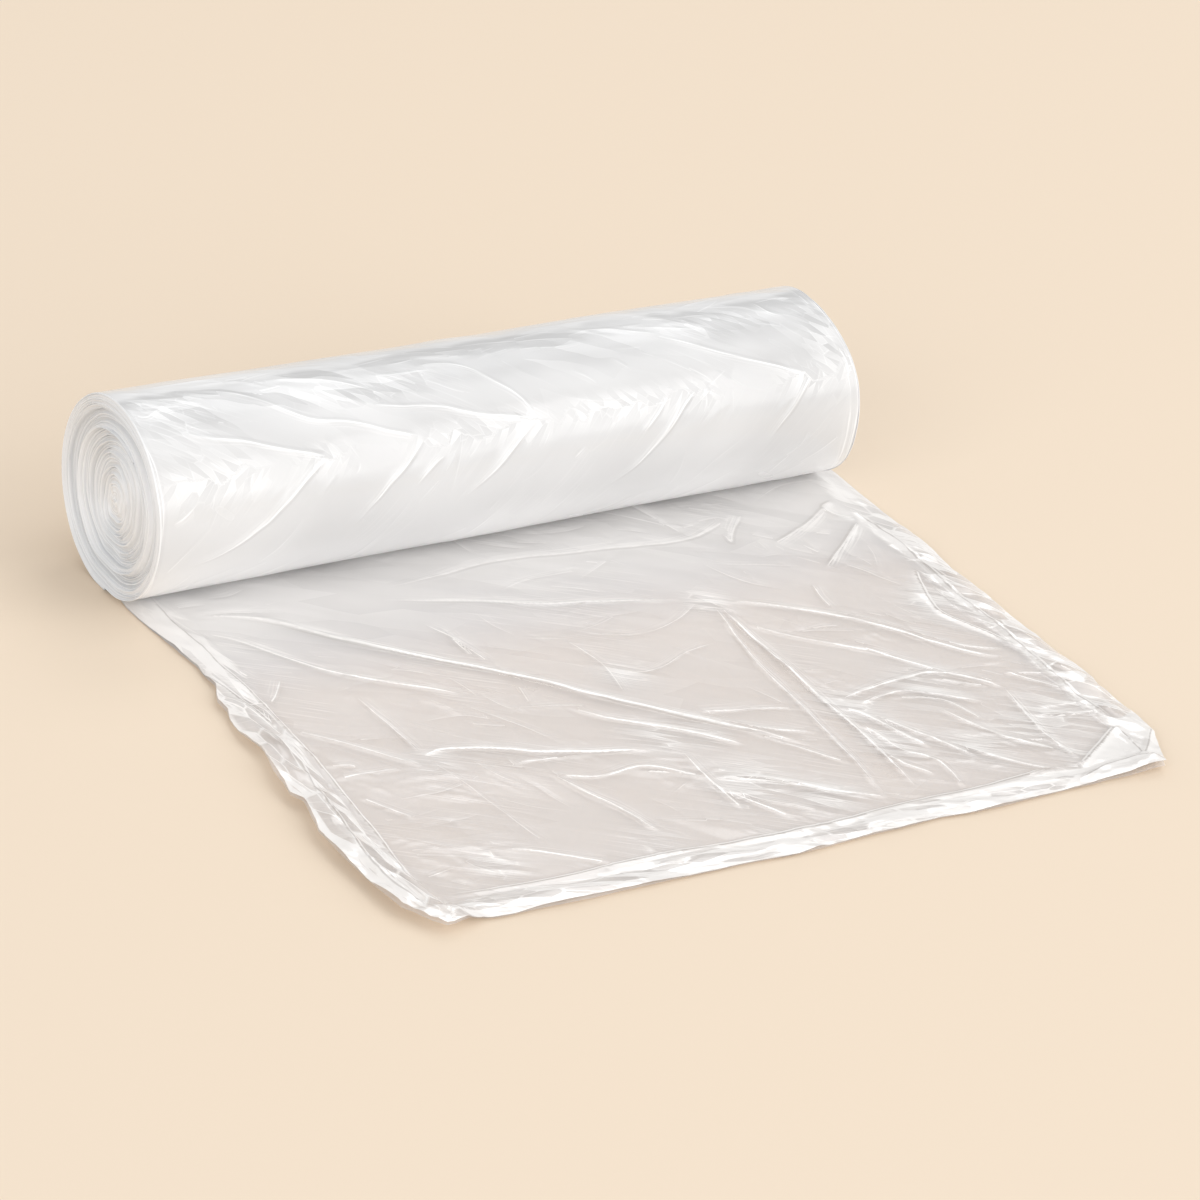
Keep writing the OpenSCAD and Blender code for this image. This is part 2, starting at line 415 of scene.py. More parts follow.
def loose_film():
    """Thin see-through film: its veil says how much of what is under it a single layer hides."""
    mat, tree, shader = new_material("loose_film")
    place = along_film(tree, "x_mm", "y_mm")
    # sides is the light and shade painted on either side of the creases
    strip, sides = attribute(tree, "strip"), attribute(tree, "shade")
    crisp, hair, fold, shade = crease_lines(tree, hair_side=1)
    # Painted highlight streaks where the film is crinkled
    slant = times(tree, streaks(tree, place, 36, 30, 0.9), attribute(tree, "slant"))
    # Painted highlights on the crumpled strips' facets and rims
    pleats = along_film(tree, "pleat_x", "pleat_y")
    facet, rim = shards(tree, pleats)
    streak = stretched_noise(tree, pleats, 0, 0.7, 0.24, 20)
    glint = times(tree, remap(tree, facet, 0.42, 0.54), remap(tree, streak, 0.35, 0.6, 0.3, 1.0))
    glint = times(tree, total(tree, glint, times(tree, rim, 0.75)), strip)
    # Painted light and shade on the film's large flat facets
    facet_light_shade = cells(tree, turned(tree, bent(tree, place, 40, 8), 35, 44, 10))
    # Painted highlight lines, hairs, streaks and glints, and the facets' painted light, whiten the veil
    lines = total(tree, times(tree, crisp, 0.85), times(tree, hair, 0.32), times(tree, slant, 0.11),
                  times(tree, glint, 0.52), times(tree, facet_light_shade, 0.05))
    # Painted light on the lit side of the creases
    lit = math_node(tree, "MAXIMUM", times(tree, sides, -0.32), 0.0)
    veil = total(tree, attribute(tree, "veil"), lines, times(tree, fold, 0.3), lit)
    dense = remap(tree, veil, 0.35, 0.75)
    tone = mix_colors(tree, dense, (0.92, 0.91, 0.93), (0.982, 0.960, 0.943))
    # Painted shade on the strips' facets that catch no highlight
    facet_shade = times(tree, remap(tree, facet, 0.08, 0.38, 0.26, 0.0), strip)
    # Painted shade, towards a dark warm grey: fold lines, the creases' thin shade and shaded side, shaded
    # facets
    painted_shade = total(tree, fold, times(tree, shade, 0.30), times(tree, sides, 0.20), facet_shade,
                remap(tree, facet_light_shade, 0.1, 0.5, 0.05, 0.0))
    tone = mix_colors(tree, math_node(tree, "MAXIMUM", painted_shade, 0.0), tone, (0.55, 0.52, 0.50))
    fill(tree, shader, {"Base Color": tone, "Alpha": math_node(tree, "MINIMUM", veil, 0.95), "IOR": 1.8,
                        "Specular IOR Level": 0.9, "Roughness": 0.16})
    return mat


def under_film():
    """The bag's lower layer, seen through the upper one."""
    mat, tree, shader = new_material("under_film")
    fill(tree, shader, {"Base Color": (0.92, 0.905, 0.925), "Alpha": attribute(tree, "veil"), "IOR": 1.5,
                        "Roughness": 0.3})
    return mat


def rolled_film():
    """The same film lying on many more layers, which makes it solid white."""
    mat, tree, shader = new_material("rolled_film")
    place = along_film(tree, "x_mm", "y_mm")
    crisp, hair, _, shade = crease_lines(tree, hair_reach=3.0)
    # Painted highlight streaks above and below the chevrons' points
    up = times(tree, streaks(tree, place, 33, 26, 0.9), attribute(tree, "upper"))
    down = times(tree, streaks(tree, place, -50, 26, 0.9, shift=40), attribute(tree, "lower"))
    fine = total(tree, up, down)
    # Painted highlights and shade on the facets round the chevrons' points
    facet, rim = shards(tree, along_film(tree, "pleat_x", "pleat_y"))
    glint = total(tree, remap(tree, facet, 0.35, 0.75, -0.25, 0.35), times(tree, rim, 0.3))
    # Painted shade in patches over the top
    patch = cells(tree, turned(tree, bent(tree, place, 20, 9), 30, 30, 6.5))
    patch = remap(tree, patch, 0.40, 0.46, 0.12, -0.30)
    # The tone's painted light and shade, the painted highlight lines and hairs, and the shade beside them
    light = total(
        tree, attribute(tree, "tone"), times(tree, crisp, 0.9), times(tree, hair, 0.4),
        times(tree, fine, 0.26), times(tree, shade, -0.16), times(tree, attribute(tree, "shade"), 0.07),
        times(tree, glint, attribute(tree, "knot")), times(tree, patch, attribute(tree, "patch")),
    )
    light = math_node(tree, "MINIMUM", light, 1.0)
    tone = mix_colors(tree, light, (0.60, 0.602, 0.608), (0.955, 0.96, 0.97))
    fill(tree, shader, {"Base Color": tone, "IOR": 1.5, "Specular IOR Level": 0.5,
                        "Roughness": attribute(tree, "rough")})
    return mat


def film_edges():
    """Cut edges of the wound film at the ends of the roll."""
    mat, tree, shader = new_material("film_edges")
    # The tone runs from painted shade in the gaps to the lit edges of the film
    tone = mix_colors(tree, attribute(tree, "tone"), (0.56, 0.58, 0.605), (0.94, 0.957, 0.985))
    metres = add(tree, "ShaderNodeTexCoord").outputs["Object"]
    fine = add(tree, "ShaderNodeTexNoise", Vector=metres, Scale=500.0, Detail=3.0).outputs["Fac"]
    fill(tree, shader, {"Base Color": tone, "IOR": 1.5, "Specular IOR Level": 0.6,
                        "Roughness": remap(tree, fine, 0.3, 0.7, 0.3, 0.45)})
    return mat


# The loose bag


def table(pairs):
    keys, values = zip(*pairs)
    return lambda v: np.interp(v, keys, values)


# How far the edges draw in from the bag's widest and longest places, along each edge
left_in = table([
    (5, 11), (14, 10), (60, 11.5), (76, 10), (90, 7.5), (107, 6), (119, 6), (133, 3), (141, 3), (148, 1),
    (153, 3), (162, 1), (171, 0), (189, 0), (205, 1), (219, 2), (229, 8), (234, 13), (242, 18),
])
right_in = table([
    (5, 0), (14, 0), (44, 1), (89, 4), (131, 7), (149, 6), (182, 7), (211, 9), (221, 10), (242, 22),
])
near_in = table([
    (-145, 8), (-133, 10), (-113, 9), (-83, 7), (-53, 6), (-14, 4), (39, 4), (73, 2), (103, 2), (143, 0),
])

# Distance between the upper film's grid points, and where the loose bag starts under the roll
BAG_STEP = 0.9
ROOT_FRONT = -6.0


def ragged(along, seed):
    """How far a crumpled edge is nicked inwards."""
    return 1.4 + 1.4 * facets(along, 0, 0, 16, 16, seed) + 0.3 * facets(along, 0, 0, 5, 5, seed + 5)


def bag_grid(step):
    """x and front over the loose bag, from under the roll to its near edge."""
    cols = int((BAG_RIGHT - BAG_LEFT) / step)
    rows = int((BAG_L - ROOT_FRONT) / step)
    u, v = np.meshgrid(np.linspace(0, 1, cols), np.linspace(0, 1, rows))
    front = ROOT_FRONT + v * (BAG_L - ROOT_FRONT)
    # The side edges and the near edge depend on each other
    for _ in range(2):
        free = ramp(front, 15, 60)
        x0 = BAG_LEFT + left_in(front) + (ragged(front, 401) - 2.2 * ramp(front, 60, 130)) * free
        x1 = BAG_RIGHT - right_in(front) - 0.5 * ragged(front, 411) * free
        x = x0 + (x1 - x0) * u
        front = ROOT_FRONT + v * (BAG_L - near_in(x) - 0.4 * ragged(x, 421) - ROOT_FRONT)
    return x, front


# Main creases of the loose bag as the photograph shows them: height, widths on the two sides of the route,
# and the route's points (x, front)
MAIN_CREASES = [
    (1.9, 7, 2.6, [(-134, 27), (-111, 40), (-94, 56), (-67, 85), (-45, 105), (-20, 131), (2, 155), (21, 172),
                   (39, 191)]),
    (0.9, 8, 3, [(-135, 39), (-122, 53), (-106, 76), (-91, 92), (-64, 116)]),
    (0.8, 2.5, 5, [(-140, 104), (-123, 124), (-104, 148)]),
    (0.6, 2, 3, [(-140, 141), (-127, 142), (-112, 144)]),
    (0.7, 3, 3, [(-103, 98), (-102, 112), (-103, 139)]),
    (1.5, 6, 2.2, [(-106, 141), (-94, 139), (-75, 146), (-62, 153), (-40, 162), (-21, 168)]),
    (0.9, 3, 2, [(-75, 156), (-57, 159), (-45, 162)]),
    (0.6, 3, 3, [(-136, 153), (-127, 168), (-124, 174)]),
    (1.0, 3, 5, [(-66, 166), (-58, 189), (-54, 206), (-51, 211)]),
    (1.1, 6, 3, [(-37, 131), (-27, 143), (-9, 158), (8, 176)]),
    (0.2, 3, 5, [(-103, 139), (-98, 163), (-92, 200), (-89, 208)]),
    (0.8, 4, 3, [(-106, 200), (-96, 206), (-75, 223)]),
    (0.3, 4, 2, [(-9, 115), (6, 119), (25, 114), (41, 112)]),
    (0.2, 4, 3, [(-5, 86), (15, 96), (35, 93), (54, 81)]),
    (0.3, 3, 3, [(-13, 89), (-10, 112), (-13, 132)]),
    (0.5, 3, 3, [(-55, 61), (-50, 78), (-47, 98)]),
    (0.8, 4, 2, [(-67, 167), (-51, 174), (-31, 175), (-16, 190)]),
    (0.9, 4, 2, [(-16, 188), (4, 200), (20, 212), (38, 222)]),
    (0.6, 4, 2, [(-18, 192), (-11, 206), (-3, 220)]),
    (0.8, 4, 2, [(-2, 150), (18, 165), (40, 175)]),
    (0.7, 4, 2, [(11, 165), (25, 181), (37, 200)]),
    (0.7, 4, 2, [(0, 149), (16, 153), (31, 156), (44, 160)]),
    (0.9, 4, 2, [(83, 128), (92, 137), (104, 154), (118, 172), (126, 175)]),
    (0.7, 3, 2, [(75, 166), (94, 176), (99, 195)]),
    (0.8, 3, 2, [(78, 196), (88, 213), (100, 227), (109, 230)]),
    (0.7, 3, 2, [(130, 169), (143, 174), (150, 181)]),
    (0.7, 3, 2, [(119, 195), (135, 199), (147, 203)]),
    (0.9, 9, 5, [(-61, 42), (-31, 54), (-6, 64), (20, 71), (49, 81)]),
    (1.1, 10, 9, [(-56, 35), (-36, 33), (-13, 32), (30, 37), (71, 42), (112, 32)]),
    (0.5, 3, 3, [(-51, 65), (-51, 92)]),
    (1.0, 2.2, 3.5, [(57, 79), (52, 101), (46, 126), (44, 155), (41, 181), (34, 218), (34, 227)]),
    (1.2, 3.5, 1.6, [(58, 81), (56, 101), (54, 145), (54, 178), (50, 212), (49, 223)]),
    (1.2, 5, 2.5, [(59, 87), (69, 92), (86, 105), (106, 125), (119, 141), (133, 156), (143, 156)]),
    (0.8, 3, 2, [(87, 104), (102, 117), (122, 140), (134, 150), (147, 156)]),
    (0.6, 6, 5, [(55, 100), (70, 118), (95, 140), (106, 150)]),
    (1.2, 5, 2.5, [(57, 162), (67, 160), (90, 158), (105, 159), (125, 180)]),
    (1.0, 4, 3, [(55, 163), (62, 172), (67, 188), (72, 202)]),
    (0.9, 3, 3, [(55, 175), (58, 183), (61, 198), (69, 206)]),
    (0.9, 3, 3, [(52, 194), (55, 204), (62, 215)]),
    (0.7, 4, 3, [(-16, 170), (-17, 188), (-17, 211)]),
    (0.9, 5, 3, [(-17, 188), (1, 195), (17, 209), (30, 221)]),
    (0.6, 3, 3, [(-14, 196), (-7, 207), (9, 220)]),
    (0.6, 4, 3, [(-37, 176), (-24, 182), (-17, 188)]),
    (1.3, 4, 4, [(148, 52), (135, 63), (122, 72), (112, 79)]),
    (0.7, 2, 2, [(99, 87), (96, 97), (95, 107)]),
    (0.9, 3, 3, [(91, 42), (90, 49), (94, 45), (107, 34)]),
    (1.0, 5, 2.5, [(63, 167), (83, 165), (93, 171), (110, 185)]),
    (0.8, 3, 3, [(100, 161), (109, 169), (118, 175)]),
    (0.9, 3, 3, [(130, 167), (135, 174), (146, 188)]),
    (1.1, 3, 3, [(123, 176), (115, 205), (116, 228)]),
    (0.8, 3, 3, [(88, 178), (97, 200), (108, 213), (114, 224)]),
    (0.6, 2, 3, [(120, 195), (129, 199), (144, 202)]),
    (0.9, 4, 3, [(64, 172), (76, 196), (84, 214)]),
    (0.7, 3, 3, [(54, 192), (68, 208), (66, 227)]),
    (0.8, 3, 3, [(147, 36), (140, 39), (142, 46), (149, 52)]),
    (0.8, 6, 4, [(148, 35), (124, 49), (103, 56)]),
    (0.6, 3, 2, [(99, 161), (108, 161), (116, 166), (124, 175)]),
    (0.6, 3, 2, [(101, 206), (115, 211)]),
    (0.6, 3, 2, [(126, 192), (146, 195)]),
    (0.5, 2, 2, [(-139, 133), (-130, 135), (-127, 139)]),
    (0.6, 3, 2, [(-138, 93), (-130, 88), (-122, 79)]),
]
# Folds that bound the crumpled strips along the edges
EDGE_FOLDS = [
    (1.2, 3, 1.2, [(-139, 8), (-139, 37), (-138, 62), (-137, 89), (-138, 110), (-141, 169), (-144, 221)]),
    (1.0, 2, 2, [(-146, 68), (-144, 83), (-140, 106)]),
    (1.2, 2, 2, [(-145, 127), (-149, 148), (-153, 184), (-153, 204), (-149, 228)]),
    (1.2, 1.2, 3, [(151, 40), (151, 84), (149, 118), (148, 154), (146, 182), (145, 212)]),
    (1.4, 2, 3, [(146, 90), (137, 112), (135, 123), (142, 139), (147, 156)]),
    (1.2, 3, 1.5, [(-141, 217), (-105, 221), (-53, 223), (-10, 226), (34, 227), (73, 227), (114, 230)]),
    (1.8, 2.5, 2.5, [(114, 230), (128, 222), (144, 213)]),
    (1.6, 2, 2, [(144, 213), (142, 224), (139, 234)]),
    (1.4, 2, 2, [(107, 238), (125, 233), (138, 234), (144, 242)]),
    (1.4, 2, 2, [(139, 234), (155, 220)]),
]


# Places away from the edges where the bag is crinkled: x, front and how far the crinkles spread
CRINKLED = [
    (54, 85, 8), (60, 165, 14), (60, 190, 14), (-5, 197, 16), (14, 213, 12), (-10, 229, 12), (-5, 118, 9),
    (-100, 144, 8), (-18, 160, 12), (138, 113, 12), (128, 196, 18), (118, 222, 10), (95, 166, 14),
    (86, 205, 14), (-112, 205, 9), (-58, 218, 11), (-3, 165, 9), (110, 203, 14),
]


def crinkles(x, front):
    """1 in the middle of each crinkled place on the loose bag."""
    return np.max([np.exp(-((x - px) ** 2 + (front - py) ** 2) / reach**2) for px, py, reach in CRINKLED], 0)


def scatter(relief, count, seed, spot, length, height, width, angle, line=0.0):
    """Small random creases, with their lengths, heights and widths between two values.

    spot and angle are functions of the generator. The angle is in degrees and takes the spot too. line is the
    strength of the strongest drawn line.
    """
    rng = np.random.default_rng(seed)
    for _ in range(count):
        x, y = spot(rng)
        a = math.radians(angle(rng, x, y))
        half = rng.uniform(*length) / 2
        bend = rng.normal(0, 0.12) * half
        d, n = np.array([math.cos(a), math.sin(a)]), np.array([-math.sin(a), math.cos(a)])
        mid = np.array([x, y])
        w = rng.uniform(*width)
        tall = rng.uniform(*height) * rng.choice([-0.5, 1])
        relief.crease([mid - d * half, mid + n * bend, mid + d * half], tall, w * rng.uniform(0.5, 1.8),
                      w * rng.uniform(0.5, 1.8), (0.4, 0.4), line * rng.uniform(0.3, 1) ** 1.5)


def around(angle, spread):
    """Angles of creases that mostly lie one way."""
    return lambda rng, *_: angle + rng.normal(0, spread)


def edge_distance(x, front):
    """How far each place is from the loose bag's side edges and near edge."""
    side = np.minimum(x - BAG_LEFT - left_in(front), BAG_RIGHT - right_in(front) - x)
    return side, BAG_L - near_in(x) - front


def anywhere(rng):
    """A random place on the loose bag in front of the roll's foot."""
    return rng.uniform(BAG_LEFT, BAG_RIGHT), rng.uniform(12, BAG_L)


def clustered(rng):
    """A random place where the noise says that the bag is crinkled."""
    while True:
        x, front = anywhere(rng)
        if noise(x / 30, front / 30, 35) > rng.uniform(-0.5, 0.3):
            return x, front


def with_flow(rng, x, front):
    """Angle of a crinkle, mostly along the long creases nearby."""
    return 32 + 30 * noise(x / 60, front / 60, 31) + rng.normal(0, 22)


def in_left_strip(rng):
    front = rng.uniform(60, 234)
    return BAG_LEFT + left_in(front) + rng.uniform(0, 17), front


def in_right_strip(rng):
    front = rng.uniform(15, 240)
    return BAG_RIGHT - right_in(front) - rng.uniform(0, 14), front


def in_near_strip(rng):
    x = rng.uniform(-150, 148)
    return x, BAG_L - near_in(x) - rng.uniform(0, 12)


def crease_top_film(relief, x, front):
    """Adds the long creases, the fine crinkles between them and the folds of the crumpled strips."""
    for height, left, right, route in MAIN_CREASES:
        relief.crease(route, 0.42 * height, 0.4 * right, 0.8 * left, (0.14, 0.14), 0.15 + 0.6 * height, 2.0)
    relief.h *= 1 + 0.25 * noise(x / 14, front / 14, 21)
    scatter(relief, 260, 41, clustered, (14, 60), (0.05, 0.18), (1.0, 2.4), with_flow, line=0.5)
    scatter(relief, 600, 42, clustered, (4, 20), (0.05, 0.16), (0.9, 1.6), with_flow)
    for seed, strip in ((51, in_left_strip), (52, in_right_strip)):
        scatter(relief, 45, seed, strip, (8, 26), (0.2, 0.6), (1.0, 2.6), around(72, 14), line=0.8)
    scatter(relief, 40, 53, in_near_strip, (10, 30), (0.2, 0.5), (1.0, 2.6), around(4, 12), line=0.8)
    for height, left, right, route in EDGE_FOLDS:
        relief.crease(route, 0.4 * height, left, right, (0.06, 0.06), -0.8)


def strips(side, near):
    """1 inside the crumpled strips along the side edges, and along the near edge."""
    return 1 - ramp(side, 12, 16), 1 - ramp(near, 9, 12)


def top_height(relief, x, front, side, near):
    side_strip, near_strip = strips(side, near)
    crumple = side_strip * np.where(x < 0, 1.1, 0.8) * facets(x, front, 70, 18, 7, 431)
    crumple += side_strip * np.where(x < 0, 0.4, 0.2) * facets(x, front, 62, 9, 4.5, 441)
    crumple += near_strip * 0.8 * facets(x, front, 14, 20, 6, 451)
    planes = 0.45 * facets(x, front, 40, 46, 17, 471) + 0.10 * facets(x, front, 30, 20, 8, 481)
    body = 0.9 * ramp(side, 0, 6) * ramp(near, 0, 6) + 0.25 + edge_lift(x, front)
    waves = 0.35 * noise(x / 45, front / 30, 61) + 0.5 + planes + crumple * ramp(front, 14, 50)
    height = np.maximum(body + waves + relief.h, 0.5 + 0.8 * edge_lift(x, front))
    # Near the roll the film stays under the wound turns
    roof = np.maximum(under_roll(front) - 0.25, 0.35)
    return np.where(front < 26, np.minimum(height, roof), height)


def top_film(x, front):
    """Height of the upper film and its material's attributes, with how much it hides."""
    relief = Relief.wavering(x, front, 10, 1.6, 34, 9)
    crease_top_film(relief, x, front)
    side, near = edge_distance(x, front)
    height = top_height(relief, x, front, side, near)
    side_strip, near_strip = strips(side, near)
    # Past the fold across the near right corner
    corner = ramp(((x - 114) * 17 + (front - 230) * 30) / 34.5, 0, 1.5)
    strip = np.maximum.reduce([side_strip, near_strip, corner]) * ramp(front, 10, 60)
    strip = np.maximum(strip, 0.6 * crinkles(x, front))
    along, over = x * 0.78 + front * 0.63, front * 0.78 - x * 0.63
    soft = 0.035 * noise(along / 40, over / 11, 71) + 0.02 * noise(along / 22, over / 5, 73)
    steep = np.hypot(*np.gradient(height)) / BAG_STEP
    # Denser on steep slopes and in the strips; whiter towards the roll as painted light against the roll's
    # shade
    veil = 0.365 + soft + 0.08 * strip + 0.12 * ramp(steep, 0.12, 0.7) + 0.42 * ramp(-front, -100, -30)
    # Whiter at the folded corner, the near strip and the crinkles: partly more film, partly painted
    # highlights
    veil += 0.50 * corner + 0.14 * near_strip - 0.08 * clear_band(x, front) + 0.08 * crinkles(x, front)
    # A thin painted highlight along the side and near edges
    veil += 0.35 * (1 - ramp(np.minimum(side, near), 0.3, 1.3)) * ramp(front, 20, 40)
    slant = ramp(noise(x / 32, front / 32, 74), -0.05, 0.45)
    pleat_x, pleat_y = pleats(x, front, side, near)
    return height, {
        "veil": veil, "strip": strip, "slant": slant, "x_mm": x, "y_mm": front, "pleat_x": pleat_x,
        "pleat_y": pleat_y, **relief.lines(),
    }


def pleats(x, front, side, near):
    """Places along and across the pleats of the crumpled film, in pleats."""
    def laid(angle, long, wide):
        a = math.radians(angle)
        return (x * math.cos(a) + front * math.sin(a)) / long, (front * math.cos(a) - x * math.sin(a)) / wide
    inside = np.minimum(side - 16, near - 12)
    kinds = [inside > 0, near < side, x < 0]
    ways = [laid(36, 28, 2.4), laid(9, 15, 2.6), laid(84, 17, 4.6)]
    otherwise = laid(58, 14, 4.8)
    bend = 0.3 * noise(x / 20, front / 20, 511)
    return tuple(np.select(kinds, [way[k] for way in ways], otherwise[k]) + bend for k in range(2))


def clear_band(x, front):
    """The smooth band between the two long creases that run to the near edge."""
    left = np.interp(front, (79, 126, 181, 227), (57, 46, 41, 34))
    right = np.interp(front, (81, 145, 178, 223), (58, 54, 54, 49))
    return ramp(x - left, 0, 1.5) * ramp(right - x, 0, 1.5) * ramp(front, 88, 105) * ramp(-front, -224, -214)


def edge_lift(x, front):
    """How far the two layers stand up together along the crumpled sides and the near edge."""
    side, near = edge_distance(x, front)
    along = 0.75 + 0.35 * noise(front / 24, 3, 491)
    tall = np.where(x < 0, 1.2 + 3.2 * ramp(front, 60, 130), 1.6)
    lift = tall * along * (1 - ramp(side, 3, 18)) + 1.0 * (1 - ramp(near, 2, 12))
    return np.minimum(lift, 4.6) * ramp(front, 25, 75)


def under_roll(front):
    """Height of the roll's underside above a place in front of its axis."""
    reach = OUTER_R - FILM_PITCH
    inside = np.clip(reach**2 - np.clip(front, -reach, reach) ** 2, 0, None)
    return AXIS_Z - np.sqrt(inside)


def bottom_film(x, front):
    """Height of the lower film."""
    relief = Relief.wavering(x, front, 80, 1.6, 34, 9)
    scatter(relief, 160, 81, anywhere, (12, 60), (0.05, 0.25), (1.5, 4.0), around(40, 30))
    height = 0.14 + 0.05 * noise(x / 20, front / 20, 91) + np.clip(relief.h, -0.05, 0.18)
    return np.maximum(height, 0.05) + 0.8 * edge_lift(x, front)


def make_loose_bag(film):
    x, front = bag_grid(BAG_STEP)
    height, marks = top_film(x, front)
    top = film_grid("bag_top_film", to_row(x, front, height), marks, film)
    x, front = bag_grid(BAG_STEP * 1.5)
    # Whiter towards the roll, as painted light against the roll's shade
    marks = {"veil": 0.42 + 0.35 * ramp(-front, -100, -35)}
    bottom = film_grid("bag_bottom_film", to_row(x, front, bottom_film(x, front)), marks, under_film())


# The roll

# Where the points of the roll's chevrons lie, in degrees from underneath round the back
CHEVRON_LINE = 237
# Creases of the outermost turn as the photograph shows them: height, widths and route (x, degrees). They meet
# in chevrons whose points lie on one line along the roll's front.
ROLL_CREASES = [
    (1.1, 3, 6, [(-127, 174), (-117, 182), (-103, 195), (-86, 215), (-67, 222), (-44, 235)]),
    (1.0, 3, 5, [(-141, 202), (-134, 210), (-117, 219), (-104, 227), (-82, 238)]),
    (0.7, 3, 5, [(-107, 182), (-94, 181), (-77, 187), (-53, 201), (-29, 216)]),
    (0.9, 3, 5, [(-67, 207), (-50, 213), (-32, 220), (-16, 228), (4, 237)]),
    (0.6, 3, 4, [(-41, 193), (-27, 190), (-13, 200), (0, 220), (4, 237)]),
    (0.9, 3, 5, [(63, 189), (73, 200), (90, 214), (106, 224), (129, 237)]),
    (0.7, 3, 4, [(34, 178), (51, 183), (68, 194), (75, 199)]),
    (0.6, 3, 3, [(119, 178), (122, 193), (129, 200)]),
    (0.8, 2, 3, [(143, 218), (146, 232), (147, 252)]),
    (0.6, 2, 3, [(-149, 188), (-144, 195), (-133, 184)]),
    (0.6, 2, 3, [(-147, 260), (-140, 255), (-133, 247)]),
    (1.2, 5, 2.5, [(-82, 237), (-92, 248), (-101, 259), (-109, 268), (-124, 283), (-140, 291)]),
    (1.1, 5, 2.5, [(-43, 235), (-50, 247), (-59, 259), (-74, 280)]),
    (0.8, 3, 2, [(-34, 245), (-40, 250), (-48, 263)]),
    (1.1, 5, 2.5, [(4, 236), (-5, 248), (-15, 261), (-27, 277)]),
    (1.2, 5, 2.5, [(76, 236), (69, 244), (60, 258), (45, 278), (36, 287)]),
    (0.9, 4, 2, [(63, 236), (55, 247), (49, 256)]),
    (0.9, 4, 2, [(129, 237), (121, 252), (112, 266), (107, 277)]),
    (0.5, 2, 3, [(20, 262), (26, 254)]),
]
# Where the film round those points is crinkled: x, degrees, and how far the crinkles spread each way
KNOTS = [
    (-128, 238, 13, 9), (-84, 238, 7, 5), (-22, 236, 16, 5), (2, 238, 6, 6), (44, 237, 18, 5),
    (76, 238, 7, 6), (128, 238, 9, 6), (-60, 200, 20, 6), (100, 192, 18, 6), (-134, 196, 9, 12),
    (140, 215, 6, 20),
]
# Where the outermost turn ends, in degrees
OUTER_TO = 356.0
# Where the outermost turn's two edges are, at angles round the roll
left_end = table([(0, -149.6), (40, -150), (360, -150)])
right_end = table([
    (0, 163), (45, 155), (90, 150), (150, 148), (184, 146), (201, 146.7), (216, 148), (231, 149.6),
    (247, 150.7), (278, 151.8), (296, 153.4), (314, 155.5), (350, 156),
])


def near_knots(x, deg):
    """1 in the middle of each crinkled place on the roll."""
    return np.max([np.exp(-(((x - px) / (1.3 * wide)) ** 2) - ((deg - d) / (1.5 * tall)) ** 2)
                   for px, d, wide, tall in KNOTS], 0)


def spiral_radius(deg):
    return OUTER_R - FILM_PITCH * deg / 360


def section(radius, deg):
    """front and z of a place on the wound film, with the roll's flat spot underneath."""
    a = np.radians(deg)
    front, z = -radius * np.sin(a), AXIS_Z - radius * np.cos(a)
    floor = 0.05 + np.clip(OUTER_R - radius, 0, None)
    # The higher of z and the floor, with a smooth change between them
    return front, (z + floor + np.sqrt((z - floor) ** 2 + 0.5)) / 2


def on_roll(rng):
    """A random place on the outermost turn: x, and the way round from underneath."""
    return rng.uniform(-150, 150), rng.uniform(20, 340) * ARC


def in_knot(rng):
    x, deg, wide, tall = KNOTS[rng.integers(len(KNOTS))]
    return rng.normal(x, wide), rng.normal(deg, tall) * ARC


def on_top_line(rng):
    """A random place near the line along the top of the roll."""
    return rng.uniform(-150, 150), rng.normal(180, 8) * ARC


def chevrons(above, below, spread):
    """Angles of creases that slant one way above the chevrons' points and another way below them."""
    return lambda rng, x, arc: (above if arc < CHEVRON_LINE * ARC else below) + rng.normal(0, spread)


def crease_outer_turn(relief):
    """Adds the long creases, the turn's fine ones, the knots and the top, and the rims' painted highlight
    lines.
    """
    for height, left, right, route in ROLL_CREASES:
        # A crease that starts or ends at a chevron's point hardly tapers there
        at_start, at_end = (abs(deg - CHEVRON_LINE) < 3 for deg in (route[0][1], route[-1][1]))
        ends = (0.05 if at_start else 0.22, 0.05 if at_end else 0.3)
        relief.crease([(x, deg * ARC) for x, deg in route], 0.26 * height, 0.6 * left, 0.6 * right, ends,
                      0.25 + 0.5 * height, 2.4)
    scatter(relief, 260, 121, on_roll, (10, 60), (0.04, 0.16), (1.2, 4.0), chevrons(35, -48, 16), line=0.4)
    scatter(relief, 130, 122, in_knot, (5, 16), (0.03, 0.08), (0.7, 1.6), chevrons(42, -52, 14), line=0.5)
    scatter(relief, 90, 123, on_top_line, (14, 50), (0.05, 0.16), (0.8, 2.0), around(8, 12), line=0.9)
    # Painted highlight lines along the rims
    for edge, inset, line in ((left_end, 0.8, 0.35), (right_end, -1.0, 0.6), (right_end, -4.2, 0.45)):
        route = [(edge(deg) + inset, deg * ARC) for deg in range(20, 345, 12)]
        relief.crease(route, 0.08, 0.8, 0.8, (0.03, 0.03), line)


